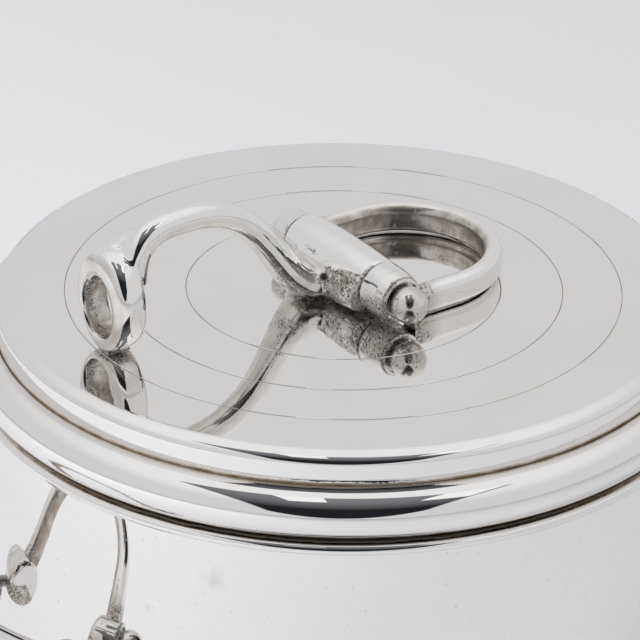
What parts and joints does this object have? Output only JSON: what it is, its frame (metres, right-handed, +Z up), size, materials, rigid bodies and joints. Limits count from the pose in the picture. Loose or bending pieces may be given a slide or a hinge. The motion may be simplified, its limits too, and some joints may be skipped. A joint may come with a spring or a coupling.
{
  "type": "lidded ice bucket",
  "caption": "Round silver-plated ice bucket with an insulated cup, fixed ring handles, and a lift-off lid whose handle is half of a riding bit with a cheek ring that swings up.",
  "frame": {"origin": "on the table, under the middle of the foot", "axes": "+Z up; the side handles lie on X; the lid handle's arm points to -X and its barrel lies along Y"},
  "size_m": [0.2804, 0.2, 0.2266],
  "materials": {
    "polished_silver": "mirror-polished silver plate, brown tarnish in its grooves",
    "cast_silver": "silver-plated casting, polished on top, rough and tarnished underneath",
    "liner_silver": "satin plated sheet",
    "screw_steel": "turned steel",
    "cork": "cork sheet",
    "felt": "green felt"
  },
  "bodies": {
    "bucket": {"body_wall": "polished_silver", "rim_bead": "polished_silver", "foot_ring": "polished_silver", "left_handle_ring": "polished_silver", "right_handle_ring": "polished_silver", "left_front_boss": "cast_silver", "left_front_ball": "cast_silver", "left_rear_boss": "cast_silver", "left_rear_ball": "cast_silver", "right_front_boss": "cast_silver", "right_front_ball": "cast_silver", "right_rear_boss": "cast_silver", "right_rear_ball": "cast_silver", "base_plate": "liner_silver", "inner_liner": "liner_silver", "left_front_screw": "screw_steel", "left_rear_screw": "screw_steel", "right_front_screw": "screw_steel", "right_rear_screw": "screw_steel", "insulation_disc": "cork", "insulation_sleeve": "cork", "base_pad": "felt"},
    "lid": {"lid_top": "polished_silver", "lid_rim": "polished_silver", "lid_pan": "liner_silver", "lid_insulation": "cork", "lid_bit_arm": "cast_silver", "lid_sleeve_screw": "screw_steel", "lid_eye_screw": "screw_steel"},
    "cheek_ring": {"lid_bit_ring": "polished_silver", "lid_bit_pin": "screw_steel", "lid_front_collar": "cast_silver", "lid_front_ball": "cast_silver", "lid_rear_cap": "cast_silver"}
  },
  "joints": [
    {"name": "lid_lift", "type": "slide", "parent": "bucket", "child": "lid", "axis": [0, 0, 1], "range_m": [0, 0.12]},
    {"name": "ring_swing", "type": "hinge", "parent": "lid", "child": "cheek_ring", "pos_m": [-0.0015, -0.0012, 0.2], "axis": [0, -1, 0], "range_deg": [0, 130]}
  ]
}
